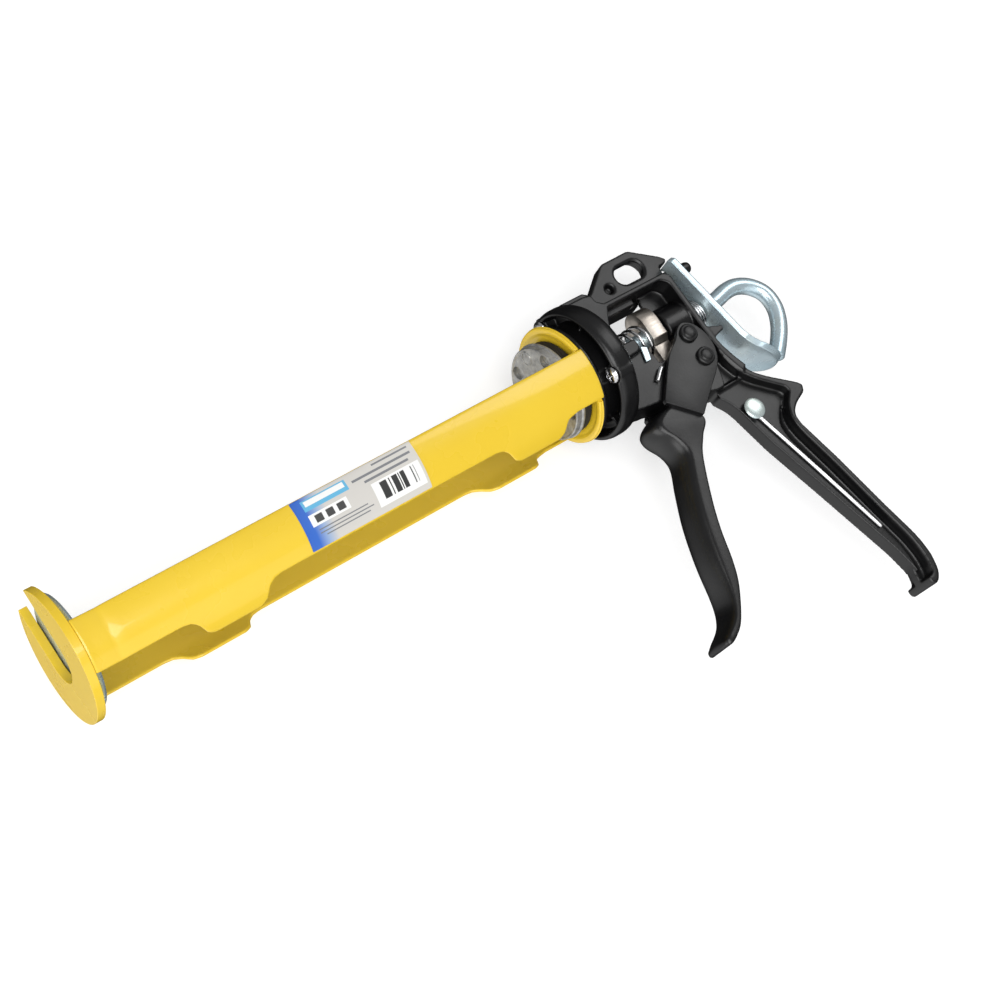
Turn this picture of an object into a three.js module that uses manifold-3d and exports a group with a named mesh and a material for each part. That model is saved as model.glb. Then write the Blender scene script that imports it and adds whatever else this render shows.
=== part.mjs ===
// Caulking gun with an open, rotating cartridge cradle and a hooked push rod.
// Millimetres. The gun lies on its right side: +X runs to the rear along the push rod,
// +Y is the side of the hang plate (the grip points to -Y), and +Z is the gun's left side.
import * as THREE from 'three';
import { mergeVertices } from 'three/addons/utils/BufferGeometryUtils.js';
import Module from 'manifold-3d';

const wasm = await Module();
wasm.setup();

// ---- Driving dimensions -------------------------------------------------------------
const CRADLE_LENGTH = 230; // front face of the front plate to the front face of the rear ring
const CRADLE_R = 26.3; // outside of the cradle walls and of the front plate
const WALL_TOP = 7.4; // top edge of the walls, degrees above the middle
const SHEET = 1.3; // cradle sheet thickness, which leaves 50 mm for a cartridge
const PLATE_T = 3.3; // front plate thickness
const SLOT_HALF = 10; // half width of the nozzle slot, and its end radius
const RING_R = 25.7; // rear ring
const RING_T = 2;
const HUB_DISC_R = 20.9; // cast disc that keeps the cradle on the body
const ROD_R = 3.7;
const BORE_R = 4.15; // holes that the rod runs in
const DISC_R = 22.8; // plunger disc on the front end of the rod
const BODY_R = 29.1; // round head of the body casting
const FLANGE_HALF = 9.5; // half width of the casting's flanges
const WEB_HALF = 7.6; // half width of the casting between the trigger cheeks
const CHANNEL_HALF = 4.6; // half width of the slot the drive block's tail runs in
const PIVOT = [60, -20.8]; // trigger pivot, x and y
const PIVOT_R = 2.6;
const DRIVE_PIN_R = 2.3;
const RUNNING = 0.09; // clearance round both trigger pins
const DRIVE_PIN = [59.7, -8.9]; // pin that pushes the drive block
const SCREW_CIRCLE = 25.2; // radius the three retaining screws stand on
const SCREW_R = 3.6; // screw heads
const SCREW_ANGLES = [357, 117, 237]; // degrees from +Y towards +Z
const HANG_HOLE = [59.4, 28.3]; // centre of the oval hanging hole
const RIVET = [68.8, -49.3]; // needle rivet on the grip
const PLATE_LEAN = 9.5; // lean of the release plate, degrees
const PLATE_FOOT = [74.6, 20]; // front of the release plate where it hangs on its peg

// ---- Materials ----------------------------------------------------------------------
function material(name, colour, metalness, roughness) {
  const made = new THREE.MeshStandardMaterial({ color: colour, metalness, roughness });
  made.name = name;
  return made;
}

const YELLOW = material('yellow_paint', 0xf0cf3c, 0, 0.35);
const BLACK = material('black_paint', 0x232323, 0, 0.45);
const ZINC = material('zinc_plate', 0xaec4cf, 1, 0.35);
const CAST = material('cast_alloy', 0x8f9092, 1, 0.5);
const STEEL = material('brushed_steel', 0xb5aea2, 1, 0.4);
const CHROME = material('bright_steel', 0xd8dadc, 1, 0.15);
const RUBBER = material('black_rubber', 0x161616, 0, 0.8);
const LABEL = material('label_film', 0xdcdcd6, 0, 0.4);

// ---- Small solid kit ----------------------------------------------------------------
const rad = THREE.MathUtils.degToRad;

function signedVolume(geometry) {
  const p = geometry.attributes.position;
  const index = geometry.index.array;
  const a = new THREE.Vector3();
  const b = new THREE.Vector3();
  const c = new THREE.Vector3();
  let sum = 0;
  for (let i = 0; i < index.length; i += 3) {
    a.fromBufferAttribute(p, index[i]);
    b.fromBufferAttribute(p, index[i + 1]);
    c.fromBufferAttribute(p, index[i + 2]);
    sum += a.dot(b.cross(c));
  }
  return sum;
}

function solid(geometry) {
  const bare = new THREE.BufferGeometry();
  bare.setAttribute('position', geometry.attributes.position.clone());
  if (geometry.index) bare.setIndex(geometry.index.clone());
  const merged = mergeVertices(bare, 1e-4);
  const tris = Uint32Array.from(merged.index.array);
  if (signedVolume(merged) < 0) {
    for (let i = 0; i < tris.length; i += 3) [tris[i], tris[i + 1]] = [tris[i + 1], tris[i]];
  }
  const vertProperties = Float32Array.from(merged.attributes.position.array);
  return new wasm.Manifold(new wasm.Mesh({ numProp: 3, vertProperties, triVerts: tris }));
}

function toGeometry(manifold) {
  const mesh = manifold.getMesh();
  const geometry = new THREE.BufferGeometry();
  geometry.setAttribute('position', new THREE.BufferAttribute(mesh.vertProperties, 3));
  geometry.setIndex(new THREE.BufferAttribute(mesh.triVerts, 1));
  geometry.computeVertexNormals();
  return geometry;
}

function join(...solids) {
  return solids.reduce((all, next) => all.add(next));
}

function cut(from, ...tools) {
  return tools.reduce((left, tool) => left.subtract(tool), from);
}

// A solid of revolution about the barrel axis from [x, radius] pairs.
function turned(profile, segments = 48) {
  const points = profile.map(([x, r]) => new THREE.Vector2(r, x));
  return solid(new THREE.LatheGeometry(points, segments).rotateZ(-Math.PI / 2));
}

function outline(points) {
  return new THREE.Shape(points.map(([x, y]) => new THREE.Vector2(x, y)));
}

// A plate with its outline in x and y, from z0 to z1, with small bevelled edges.
function slab(shape, z0, z1, bevel = 0) {
  const geometry = new THREE.ExtrudeGeometry(shape, {
    depth: z1 - z0 - 2 * bevel,
    bevelEnabled: bevel > 0,
    bevelThickness: bevel,
    bevelSize: bevel,
    bevelOffset: -bevel,
    bevelSegments: bevel > 0.8 ? 2 : 1,
    curveSegments: 10,
  });
  return solid(geometry.translate(0, 0, z0 + bevel));
}

// A plate with its outline in z and y, from x0 to x1.
function wafer(shape, x0, x1, bevel = 0, segments = 12) {
  const geometry = new THREE.ExtrudeGeometry(shape, {
    depth: x1 - x0 - 2 * bevel,
    bevelEnabled: bevel > 0,
    bevelThickness: bevel,
    bevelSize: bevel,
    bevelOffset: -bevel,
    bevelSegments: 1,
    curveSegments: segments,
  });
  return solid(geometry.translate(0, 0, x0 + bevel).rotateY(Math.PI / 2));
}

function block(x0, x1, y0, y1, z0, z1) {
  const geometry = new THREE.BoxGeometry(x1 - x0, y1 - y0, z1 - z0);
  return solid(geometry.translate((x0 + x1) / 2, (y0 + y1) / 2, (z0 + z1) / 2));
}

// A round bar along z.
function pin(x, y, r, z0, z1, segments = 24) {
  const geometry = new THREE.CylinderGeometry(r, r, z1 - z0, segments).rotateX(Math.PI / 2);
  return solid(geometry.translate(x, y, (z0 + z1) / 2));
}

// A round bar along x.
function bar(x0, x1, y, z, r, segments = 24) {
  const geometry = new THREE.CylinderGeometry(r, r, x1 - x0, segments).rotateZ(Math.PI / 2);
  return solid(geometry.translate((x0 + x1) / 2, y, z));
}

// A round wire or rod through 3-D points.
function wire(points, r, steps, sides = 10, tension = 0.5) {
  const knots = points.map((p) => new THREE.Vector3(...p));
  const path = new THREE.CatmullRomCurve3(knots, false, 'catmullrom', tension);
  const ring = [];
  for (let i = 0; i < sides; i += 1) {
    const a = (2 * Math.PI * i) / sides;
    ring.push(new THREE.Vector2(r * Math.cos(a), r * Math.sin(a)));
  }
  const options = { steps, bevelEnabled: false, extrudePath: path };
  return solid(new THREE.ExtrudeGeometry(new THREE.Shape(ring), options));
}

// ---- Cradle -------------------------------------------------------------------------
function frontPlate() {
  const shape = new THREE.Shape();
  const lip = Math.asin(SLOT_HALF / CRADLE_R);
  const start = Math.PI / 2 - lip;
  shape.absarc(0, 0, CRADLE_R, Math.PI / 2 + lip, 2 * Math.PI + start, false);
  shape.lineTo(SLOT_HALF, 0);
  shape.absarc(0, 0, SLOT_HALF, 0, Math.PI, true);
  return wafer(shape, -CRADLE_LENGTH, -CRADLE_LENGTH + PLATE_T, 0.5, 28);
}

// One long wall: an arc of sheet with two stiffening tabs on its lower edge.
function cradleWall() {
  const x0 = -CRADLE_LENGTH + PLATE_T + 0.05;
  const x1 = 2.2;
  const top = rad(WALL_TOP);
  const bottom = rad(-56);
  const inner = CRADLE_R - SHEET;
  const arc = new THREE.Shape();
  arc.absarc(0, 0, CRADLE_R, bottom, top, false);
  arc.absarc(0, 0, inner, top, bottom, true);
  const sheet = new THREE.ExtrudeGeometry(arc, { depth: x1 - x0, bevelEnabled: false, curveSegments: 10 });
  const wall = solid(sheet.rotateY(-Math.PI / 2).scale(-1, 1, 1).translate(x0, 0, 0));
  const edge = [[x0 - 1, -30], [x0 - 1, -16]];
  for (const [from, to, level] of [[-183, -160.5, -16], [-43, -20.2, -16.9]]) {
    edge.push([from - 10, -16], [from - 6.5, -16.5], [from - 4, -18], [from - 1.5, -21]);
    edge.push([from + 1.5, -21.8], [to - 2, -21.8], [to + 0.8, -20.8], [to + 3, -18]);
    edge.push([to + 5.5, level - 0.5], [to + 9, level]);
  }
  edge.push([x1 + 1, -16.9], [x1 + 1, -30]);
  return cut(wall, slab(outline(edge), 0, 40));
}

function mirrored(manifold) {
  return solid(toGeometry(manifold).scale(1, 1, -1));
}

// The ring at the rear of the cradle, stepped in where the walls lap over its edge.
function rearRing() {
  const ring = turned([
    [0.9, 13.6], [0.9, 22.6], [0, 24], [0, RING_R - 0.6], [0.5, RING_R], [RING_T - 0.4, RING_R],
    [RING_T, RING_R - 0.5], [RING_T, 13.6], [0.9, 13.6],
  ], 64);
  const lap = new THREE.Shape();
  const inner = CRADLE_R - SHEET - 0.3;
  lap.absarc(0, 0, 30, rad(-44.5), rad(WALL_TOP + 1), false);
  lap.absarc(0, 0, inner, rad(WALL_TOP + 1), rad(-44.5), true);
  const step = wafer(lap, -1, 3);
  return cut(ring, step, mirrored(step));
}

function productLabel() {
  const arc = new THREE.Shape();
  const inner = CRADLE_R + 0.1;
  const outer = inner + 0.2;
  arc.absarc(0, 0, outer, rad(-36.5), rad(6.4), false);
  arc.absarc(0, 0, inner, rad(6.4), rad(-36.5), true);
  const film = new THREE.ExtrudeGeometry(arc, { depth: 54, bevelEnabled: false, curveSegments: 12 });
  return solid(film.rotateY(-Math.PI / 2).scale(-1, 1, 1).translate(-137.8, 0, 0));
}

// ---- Body ---------------------------------------------------------------------------
function roundHead() {
  let head = turned([
    [-3.2, 0], [-3.2, 12.8], [2.4, 12.8], [2.4, 24.4], [2.8, 24.9], [4, 24.9], [5, 24], [5.4, 22],
    [15.5, 22], [15.5, 26], [11.2, 26.1], [9.6, 26.6], [9.1, 27.3], [9.5, 28], [11, 28.7], [13.5, BODY_R],
    [16, BODY_R], [18.2, 28.2], [19.8, 26.4], [20.8, 23.5], [21.4, 19], [21.8, 14], [21.8, 0],
  ], 64);
  for (const angle of SCREW_ANGLES) {
    const y = SCREW_CIRCLE * Math.cos(rad(angle));
    const z = SCREW_CIRCLE * Math.sin(rad(angle));
    head = head.add(bar(10.4, 18, y, z, 4.3, 20));
  }
  return head;
}

// A slot with round ends, 2 * half between their centres along x, from z0 to z1.
function oval([x, y], half, r, z0, z1) {
  const middle = block(x - half, x + half, y - r, y + r, z0, z1);
  return join(pin(x - half, y, r, z0, z1), pin(x + half, y, r, z0, z1), middle);
}

function hangPlate() {
  const shape = outline([
    [20, 17.8], [20, 26.6], [33, 26.4], [36.8, 27.4], [48.6, 36.2], [50.4, 36.9], [64.8, 37], [77, 28.4],
    [79, 26.2], [77.8, 24.8], [73.6, 24.4], [73.3, 17.8],
  ]);
  return cut(
    slab(shape, -3.6, 3.6, 0.5),
    oval(HANG_HOLE, 2.9, 4.3, -5, 5),
    oval(HANG_HOLE, 2.9, 5.8, -5, 0.2),
    pin(46.2, 25.6, 2, 0.5, 5, 16),
  );
}

// The flange that runs from the neck over the window and down the rear wall.
function rearFrame() {
  const shape = outline([
    [20, 17.6], [20, 19.8], [69.4, 19.8], [71.4, 17.8], [71.4, -16], [73, -24], [76, -32],
    [73, -34], [69.6, -24], [68.6, 14.6], [65.6, 17.6],
  ]);
  return slab(shape, -FLANGE_HALF, FLANGE_HALF, 0.6);
}

// The wide neck between the round head and the window, with a rail beside the spring.
function neck() {
  const shape = outline([
    [18, -6], [18, 26.2], [28, 26.4], [32.4, 25.4], [32.8, 22], [35.6, 19.8], [36, 17.4], [31.8, 10.9],
    [30.2, 4.4], [30.4, 0.7], [37, 0.7], [37.6, 0], [37.6, -3.4], [36, -5], [24, -6],
  ]);
  return slab(shape, -FLANGE_HALF, FLANGE_HALF, 0.5);
}

// The thick roof on the window's far side, and the thin web between it and the rod boss.
function windowRoof() {
  return join(
    slab(outline([[24, 14.9], [24, 18.4], [52, 18.4], [52, 14.9]]), -FLANGE_HALF, 3.8),
    slab(outline([[51, 14.9], [51, 18.4], [58.5, 18.4], [58.5, 14.9]]), -FLANGE_HALF, -3),
    slab(outline([[56.6, 6], [56.6, 15], [58.4, 18.4], [69.4, 18.4], [69.4, 6]]), -2, 0),
  );
}

function lowerWeb() {
  const shape = outline([
    [19, -26], [19, 2], [39.6, 2], [41.4, -2], [42.4, -13.2], [67, -13.2], [66.4, -24], [62.4, -34.8],
    [59.4, -35.4], [52, -33.6], [38, -28.6], [30, -27.4],
  ]);
  return slab(shape, -WEB_HALF, WEB_HALF, 0.8);
}

const GRIP_BACK = [
  [73.2, -22], [74.2, -30], [77, -36], [82.6, -41], [93, -49.2], [94.4, -51], [93.2, -54], [86, -56.8],
  [82.4, -60], [81.8, -64], [87, -86], [92.4, -113], [96, -129], [96.8, -139], [94.6, -147], [91.8, -150.2],
  [89.4, -150.9],
];
const GRIP_FRONT = [
  [87.9, -149.6], [87.8, -145.6], [89, -139], [87.4, -128.5], [75.8, -91], [68.2, -65.6], [65, -42.4],
];

function grip() {
  const whole = slab(outline([[62, -36], [68, -20], ...GRIP_BACK, ...GRIP_FRONT]), -8.8, 8.8, 0.8);
  const inner = [
    [58, -30], [66, -18], [68.8, -18], [68.8, -24], [71.4, -33.4], [77.4, -40.2], [86.2, -48.2],
    [87, -50.6], [82, -55.2], [79.6, -61], [79.8, -67], [84.4, -87], [89.8, -114], [93.2, -130],
    [93.4, -140], [91.4, -146.4], [84, -147.4], [70, -130], [50, -70],
  ];
  const pockets = [
    slab(outline(inner), 2.2, 12),
    slab(outline(inner), -12, -2.2),
  ];
  const plateau = slab(outline([
    [59, -38], [62, -16], [70, -16], [70.6, -24], [73, -34], [79, -41], [88, -49], [88, -51],
    [80.2, -55.4], [76, -61], [76.2, -68], [81.6, -90], [87.6, -115], [90.6, -129.4], [90.8, -136.4],
    [89.4, -143.4], [88.8, -139], [87.2, -130.2], [75.6, -91], [67.8, -65.6], [63, -44],
  ]), -3.8, 3.8, 0.5);
  const rib = slab(outline([[58.6, -34.4], [73, -34.2], [73.6, -35.6], [58.6, -35.8]]), -5, 5, 0.3);
  return join(cut(whole, ...pockets), plateau, rib);
}

function bodyCasting() {
  const rib = slab(outline([[19, 26], [21, 29.6], [34, 29.6], [38, 26.4]]), -2.6, 2.6, 0.5);
  const core = cut(
    join(roundHead(), neck(), lowerWeb(), hangPlate(), rearFrame(), windowRoof(), rib, grip()),
    bar(21.9, 45, 0, 0, 8.4, 32), // drive spring seat, open to the rear
    block(38, 68.8, -16.4, 2.1, -CHANNEL_HALF, CHANNEL_HALF), // slot for the block's tail
  );
  const boss = bar(56, 71, 0, 0, 8.5, 36);
  const peg = bar(70, 89, 19.4, 0, 2.7, 20);
  const nub = slab(outline([
    [70, -9.4], [74.4, -10.6], [76, -11.6], [77.8, -11.8], [78.2, -12.9], [77.6, -14], [75, -14.4], [70, -16],
  ]), 6.4, 9.3);
  let body = cut(
    join(core, boss, peg, nub),
    bar(-10, 90, 0, 0, BORE_R, 32), // rod bore
    block(55.5, 64.6, -13, -4.95, -12, 12), // room for the drive pin
    pin(PIVOT[0], PIVOT[1], PIVOT_R + RUNNING, -12, 12),
    pin(RIVET[0], RIVET[1], 1.7, -5, 5, 16),
  );
  for (const angle of SCREW_ANGLES) {
    const y = SCREW_CIRCLE * Math.cos(rad(angle));
    const z = SCREW_CIRCLE * Math.sin(rad(angle));
    body = cut(body, bar(7, 19, y, z, 1.75, 16), bar(5, 10.4, y, z, SCREW_R + 0.3, 20));
  }
  return body;
}

function hubDisc() {
  const disc = turned([
    [-8.1, BORE_R], [-8.1, 6.4], [-7.7, 7], [-7.7, 19.6], [-8.1, 20.1], [-8, HUB_DISC_R - 0.3],
    [-7.5, HUB_DISC_R], [-4.2, HUB_DISC_R], [-3.8, HUB_DISC_R - 0.4], [-3.8, BORE_R], [-8.1, BORE_R],
  ], 56);
  const holes = [-26, 60, 148, 238].map((angle) => {
    const y = 16.4 * Math.cos(rad(angle));
    const z = 16.4 * Math.sin(rad(angle));
    return bar(-12, -5.6, y, z, 2.9, 16);
  });
  return cut(disc, ...holes);
}

function hubSeal() {
  return turned([
    [-3.5, 13.1], [-3.5, 19.4], [-2.6, 20], [0.2, 20], [0.6, 19.4], [0.6, 13.1], [-3.5, 13.1],
  ], 48);
}

function screw(angle) {
  const y = SCREW_CIRCLE * Math.cos(rad(angle));
  const z = SCREW_CIRCLE * Math.sin(rad(angle));
  const shape = turned([
    [7.7, 0], [7.9, 1.8], [8.6, 3], [9.5, SCREW_R], [10.1, SCREW_R], [10.1, 1.5], [17.4, 1.5], [18.2, 0.7],
    [18.2, 0],
  ], 20);
  const recess = [block(7, 9, -2.1, 2.1, -0.45, 0.45), block(7, 9, -0.45, 0.45, -2.1, 2.1)];
  const made = cut(shape, ...recess);
  return solid(toGeometry(made).translate(0, y, z));
}

// ---- Trigger ------------------------------------------------------------------------
const CHEEK = [
  [31, -28.4], [40.2, -18.4], [46.5, -12], [53, -8.6], [56.4, -4.8], [60, -3], [64.4, -5.2], [67.2, -10.5],
  [67.9, -16], [66.2, -22.5], [62, -27.5], [55, -32.4], [49.4, -36.6], [42.8, -41.6],
  [31, -29.8],
];
const LEVER_FRONT = [
  [31, -30.2], [25, -31.2], [20.4, -33.4], [19.2, -35.8], [20, -39], [22.4, -43], [23.6, -47.5],
  [22.8, -52.5], [18.2, -61], [11.6, -75], [6, -92], [3.4, -107], [1, -112.8], [-2.6, -116.4],
  [-7.6, -119.4], [-10.2, -121.6],
];
const LEVER_BACK = [
  [-10.8, -123.6], [-8.4, -124.8], [-4, -123.2], [1.6, -119], [10, -107.6], [14.4, -98], [18.6, -84.6],
  [23.8, -72], [32, -56], [38, -48.6], [43.6, -42.2], [38, -31],
];
const LEVER_LAYERS = [[0, 5], [0.9, 7], [2.2, 8.3], [4.2, 9.3]]; // set-back of the front edge, half width

function trigger() {
  const cheeks = [
    slab(outline(CHEEK), 8.4, 11.2, 0.5),
    slab(outline(CHEEK), -11.2, -8.4, 0.5),
  ];
  const layers = LEVER_LAYERS.map(([back, half]) => {
    const front = LEVER_FRONT.map(([x, y]) => [x + 0.93 * back, y + 0.36 * back]);
    return slab(outline([...front, ...LEVER_BACK]), -half, half, 0.6);
  });
  const made = join(...layers, ...cheeks);
  return cut(
    made,
    pin(PIVOT[0], PIVOT[1], PIVOT_R + RUNNING, -14, 14),
    pin(DRIVE_PIN[0], DRIVE_PIN[1], DRIVE_PIN_R + RUNNING, -14, 14),
  );
}

function rivetPin([x, y], shank, head) {
  const profile = [
    [-13.2, 0], [-13.2, head - 0.6], [-12.6, head], [-11.5, head], [-11.5, shank], [11.5, shank],
    [11.5, head], [12.6, head], [13.2, head - 0.6], [13.2, 0],
  ].map(([z, r]) => new THREE.Vector2(r, z));
  const made = new THREE.LatheGeometry(profile, 28).rotateX(Math.PI / 2);
  return solid(made.translate(x, y, 0));
}

// Leg of the wire that returns the trigger, hooked on the casting's side.
function springLeg() {
  return wire([[40.6, -15.4, 9], [38.2, -17.1, 9], [35, -19.7, 9]], 1.05, 6, 10);
}

// Small plated clip beside the drive spring.
function springClip() {
  return slab(outline([[38.2, -3.6], [40.7, -5], [38.9, -10.4], [36.2, -10.4]]), 7.9, 8.7, 0.15);
}

function driveRoller() {
  const sleeve = pin(DRIVE_PIN[0], DRIVE_PIN[1], 3.6, -4.2, 4.2, 28);
  return cut(sleeve, pin(DRIVE_PIN[0], DRIVE_PIN[1], DRIVE_PIN_R + RUNNING, -6, 6, 28));
}

// ---- Drive, rod and release ---------------------------------------------------------
// The block that grips the rod: round on top, with a narrow tail in the casting's slot.
function driveBlock() {
  const side = [[3.4, -15.4], [4.1, -14.6], [4.2, -5.6], [6.8, -2.9], [7.1, -2.2]];
  for (let i = 0; i < 9; i += 1) {
    const a = rad(10 * i);
    side.push([7.1 * Math.cos(a), 4.6 + 8 * Math.sin(a)]);
  }
  const far = side.map(([z, y]) => [-z, y]).reverse();
  const made = wafer(outline([...side, [0, 12.6], ...far]), 47.2, 55, 0.3);
  return cut(made, bar(44, 60, 0, 0, BORE_R, 32), bar(44, 48, 8.4, -3.6, 0.6, 10));
}

// A coil along x. Its rear end leans with the face it presses on.
function spring(x0, x1, r0, r1, turns, gauge, lean = 0, perTurn = 14) {
  const points = [];
  const count = Math.round(turns * perTurn);
  for (let i = 0; i <= count; i += 1) {
    const s = i / count;
    const a = 2 * Math.PI * turns * s;
    const r = r0 + (r1 - r0) * s;
    const y = r * Math.cos(a);
    points.push([x0 + (x1 - x0) * s - s * y * Math.tan(rad(lean)), y, r * Math.sin(a)]);
  }
  return wire(points, gauge, count, 6);
}

function pushRod() {
  const straight = [-225, -150, -60, 0, 60, 85].map((x) => [x, 0, 0]);
  const hook = [
    [91, 0.7, 0], [97, 1.9, 0], [103, 1.7, 0], [109, -1.2, 0], [113.4, -6.8, 0], [113.8, -14, 0],
    [110.8, -21, 0], [105.6, -27.4, 0], [98.2, -34.2, 0],
  ];
  return wire([...straight, ...hook], ROD_R, 64, 20);
}

function plungerDisc() {
  return turned([
    [-226.2, BORE_R], [-226.2, 21.6], [-225.4, DISC_R], [-224.4, DISC_R], [-223.6, 21.8],
    [-222.8, 12], [-222.8, BORE_R], [-226.2, BORE_R],
  ], 56);
}

function plungerNut() {
  const hex = [];
  for (let i = 0; i < 6; i += 1) hex.push([7 * Math.cos(rad(60 * i)), 7 * Math.sin(rad(60 * i))]);
  return cut(wafer(outline(hex), -222.5, -217, 0.4), bar(-230, -210, 0, 0, BORE_R, 32));
}

function releasePlate() {
  const path = outline([
    [0, 3.4], [3, 3.4], [3, -42], [5.4, -47], [12.2, -56.6], [13.4, -58.6], [10.8, -59.8],
    [9.2, -57.9], [2.9, -49], [0, -43],
  ]);
  const width = 11.6;
  const strip = slab(path, -width, width, 0.3);
  const tabEnd = new THREE.Shape();
  tabEnd.moveTo(-9.8, 3.7);
  tabEnd.lineTo(-12, 1.5);
  tabEnd.lineTo(-12, -49);
  tabEnd.absarc(0, -49, width - 1, Math.PI, 2 * Math.PI, false);
  tabEnd.lineTo(12, -49);
  tabEnd.lineTo(12, 1.5);
  tabEnd.lineTo(9.8, 3.7);
  const shaped = strip.intersect(wafer(tabEnd, -20, 40, 0, 16));
  const holed = cut(shaped, bar(-5, 10, -20, 0, 4.9, 28), bar(-5, 10, -0.6, 0, 3.7, 20));
  const made = toGeometry(holed);
  return solid(made.rotateZ(rad(PLATE_LEAN)).translate(PLATE_FOOT[0], PLATE_FOOT[1], 0));
}

function piercingNeedle() {
  const [x, y] = RIVET;
  const z = 4.85;
  const points = [];
  for (let i = 0; i <= 14; i += 1) {
    const a = rad(-40 + 300 * (i / 14));
    points.push([x + 2.9 * Math.cos(a), y + 2.9 * Math.sin(a), z]);
  }
  points.push([x + 0.7, y - 5.4, z], [x + 1.6, y - 9, z], [x + 9.6, y - 38, z], [x + 18, y - 69.6, z]);
  return wire(points, 0.9, 60, 8, 0.4);
}

function needleRivet() {
  const profile = [[-1, 0], [-1, 1.55], [5.9, 1.55], [5.9, 4.8], [6.5, 4.6], [7.1, 3.6], [7.4, 2], [7.4, 0]];
  const points = profile.map(([z, r]) => new THREE.Vector2(r, z));
  const made = new THREE.LatheGeometry(points, 28).rotateX(Math.PI / 2);
  return solid(made.translate(RIVET[0], RIVET[1], 0));
}

// ---- Assembly -----------------------------------------------------------------------
const group = new THREE.Group();
group.name = 'caulking_gun';

function add(name, manifold, slot) {
  const mesh = new THREE.Mesh(toGeometry(manifold), slot);
  mesh.name = name;
  group.add(mesh);
}

const wall = cradleWall();
add('front_plate', frontPlate(), YELLOW);
add('left_wall', wall, YELLOW);
add('right_wall', mirrored(wall), YELLOW);
add('rear_ring', rearRing(), YELLOW);
add('product_label', productLabel(), LABEL);
add('body_casting', bodyCasting(), BLACK);
add('hub_disc', hubDisc(), CAST);
add('hub_seal', hubSeal(), RUBBER);
SCREW_ANGLES.forEach((angle, i) => add(`screw_${i + 1}`, screw(angle), CHROME));
add('trigger', trigger(), BLACK);
add('drive_pin', rivetPin(DRIVE_PIN, DRIVE_PIN_R, 4), BLACK);
add('drive_roller', driveRoller(), STEEL);
add('pivot_pin', rivetPin(PIVOT, PIVOT_R, 4), BLACK);
add('spring_leg', springLeg(), CHROME);
add('spring_clip', springClip(), ZINC);
add('drive_block', driveBlock(), STEEL);
add('drive_spring', spring(23.1, 46, 5.4, 7.3, 6.5, 0.75), CHROME);
add('push_rod', pushRod(), ZINC);
add('plunger_disc', plungerDisc(), ZINC);
add('plunger_nut', plungerNut(), ZINC);
add('release_plate', releasePlate(), ZINC);
add('release_spring', spring(72.1, 77, 5.6, 6, 4.5, 0.5, PLATE_LEAN), CHROME);
add('piercing_needle', piercingNeedle(), CHROME);
add('needle_rivet', needleRivet(), CHROME);

// The gun lies on the table plane, centred over the origin.
const box = new THREE.Box3().setFromObject(group);
group.position.set(-(box.min.x + box.max.x) / 2, -(box.min.y + box.max.y) / 2, -box.min.z);

export default group;
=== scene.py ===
"""Looks for the caulking gun: fine meshes, materials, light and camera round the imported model.

Shapes are drawn in millimetres in the gun's own axes: x runs to the rear along the push rod
from the front face of the rear ring, y points to the hang plate, z to the gun's left side.
TO_ROW then takes each finished piece into the frame's metres."""

import math

import bmesh
import bpy
from mathutils import Matrix, Vector

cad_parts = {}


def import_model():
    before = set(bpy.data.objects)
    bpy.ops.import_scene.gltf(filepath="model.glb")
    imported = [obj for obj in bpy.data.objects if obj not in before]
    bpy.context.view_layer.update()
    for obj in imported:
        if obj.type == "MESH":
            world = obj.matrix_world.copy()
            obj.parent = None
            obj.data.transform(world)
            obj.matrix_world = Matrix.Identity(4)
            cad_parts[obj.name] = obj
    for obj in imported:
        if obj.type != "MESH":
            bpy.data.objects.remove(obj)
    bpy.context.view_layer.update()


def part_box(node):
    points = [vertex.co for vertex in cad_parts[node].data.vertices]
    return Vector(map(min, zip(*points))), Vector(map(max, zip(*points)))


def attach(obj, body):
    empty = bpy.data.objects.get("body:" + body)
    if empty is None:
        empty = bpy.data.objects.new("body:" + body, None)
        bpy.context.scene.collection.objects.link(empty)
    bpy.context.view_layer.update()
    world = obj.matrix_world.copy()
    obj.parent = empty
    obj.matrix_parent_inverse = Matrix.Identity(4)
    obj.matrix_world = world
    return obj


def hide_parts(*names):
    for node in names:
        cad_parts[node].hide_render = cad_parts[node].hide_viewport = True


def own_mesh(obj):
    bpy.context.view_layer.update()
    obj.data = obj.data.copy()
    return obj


MM = 0.001
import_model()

disc_low, disc_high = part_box("plunger_disc")
ORIGIN = Vector((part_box("rear_ring")[0].x, (disc_low.y + disc_high.y) / 2, (disc_low.z + disc_high.z) / 2))
TO_ROW = Matrix.Translation(ORIGIN) @ Matrix.Scale(MM, 4)


def corners(node):
    """The lowest and highest corners of a CAD node in the gun's millimetres."""
    low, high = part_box(node)
    return (low - ORIGIN) / MM, (high - ORIGIN) / MM


# ---- Driving dimensions --------------------------------------------------------------
FRONT, PLATE_BACK = (c.x for c in corners("front_plate"))
WALL_FRONT, WALL_BACK = (c.x for c in corners("left_wall"))
LABEL_FRONT, LABEL_BACK = (c.x for c in corners("product_label"))
CRADLE_R = 26.3  # outside of the cradle's walls
SHEET = 1.3  # their thickness
WALL_TOP = 7.4  # degrees above the barrel's side that they reach
SLOT_HALF = 10  # half the width of the nozzle slot
LABEL_R = CRADLE_R + 0.05  # inside of the label's film
HUB_R = 20.9  # swivel disc
ROD_R = 3.7
BORE_R = 4.0  # holes close round the rod, but the release plate's
DISC_R = 22.8  # plunger disc
BODY_R = 29.1  # widest ring of the round head
FLANGE_HALF = 9.5  # half widths along z: neck and rear frame, lower web, channel, lever
WEB_HALF = 7.6
CHANNEL_HALF = 4.6
LEVER_HALF = 9.3
PIVOT = (60, -20.8)
PIVOT_R = 2.6
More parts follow.
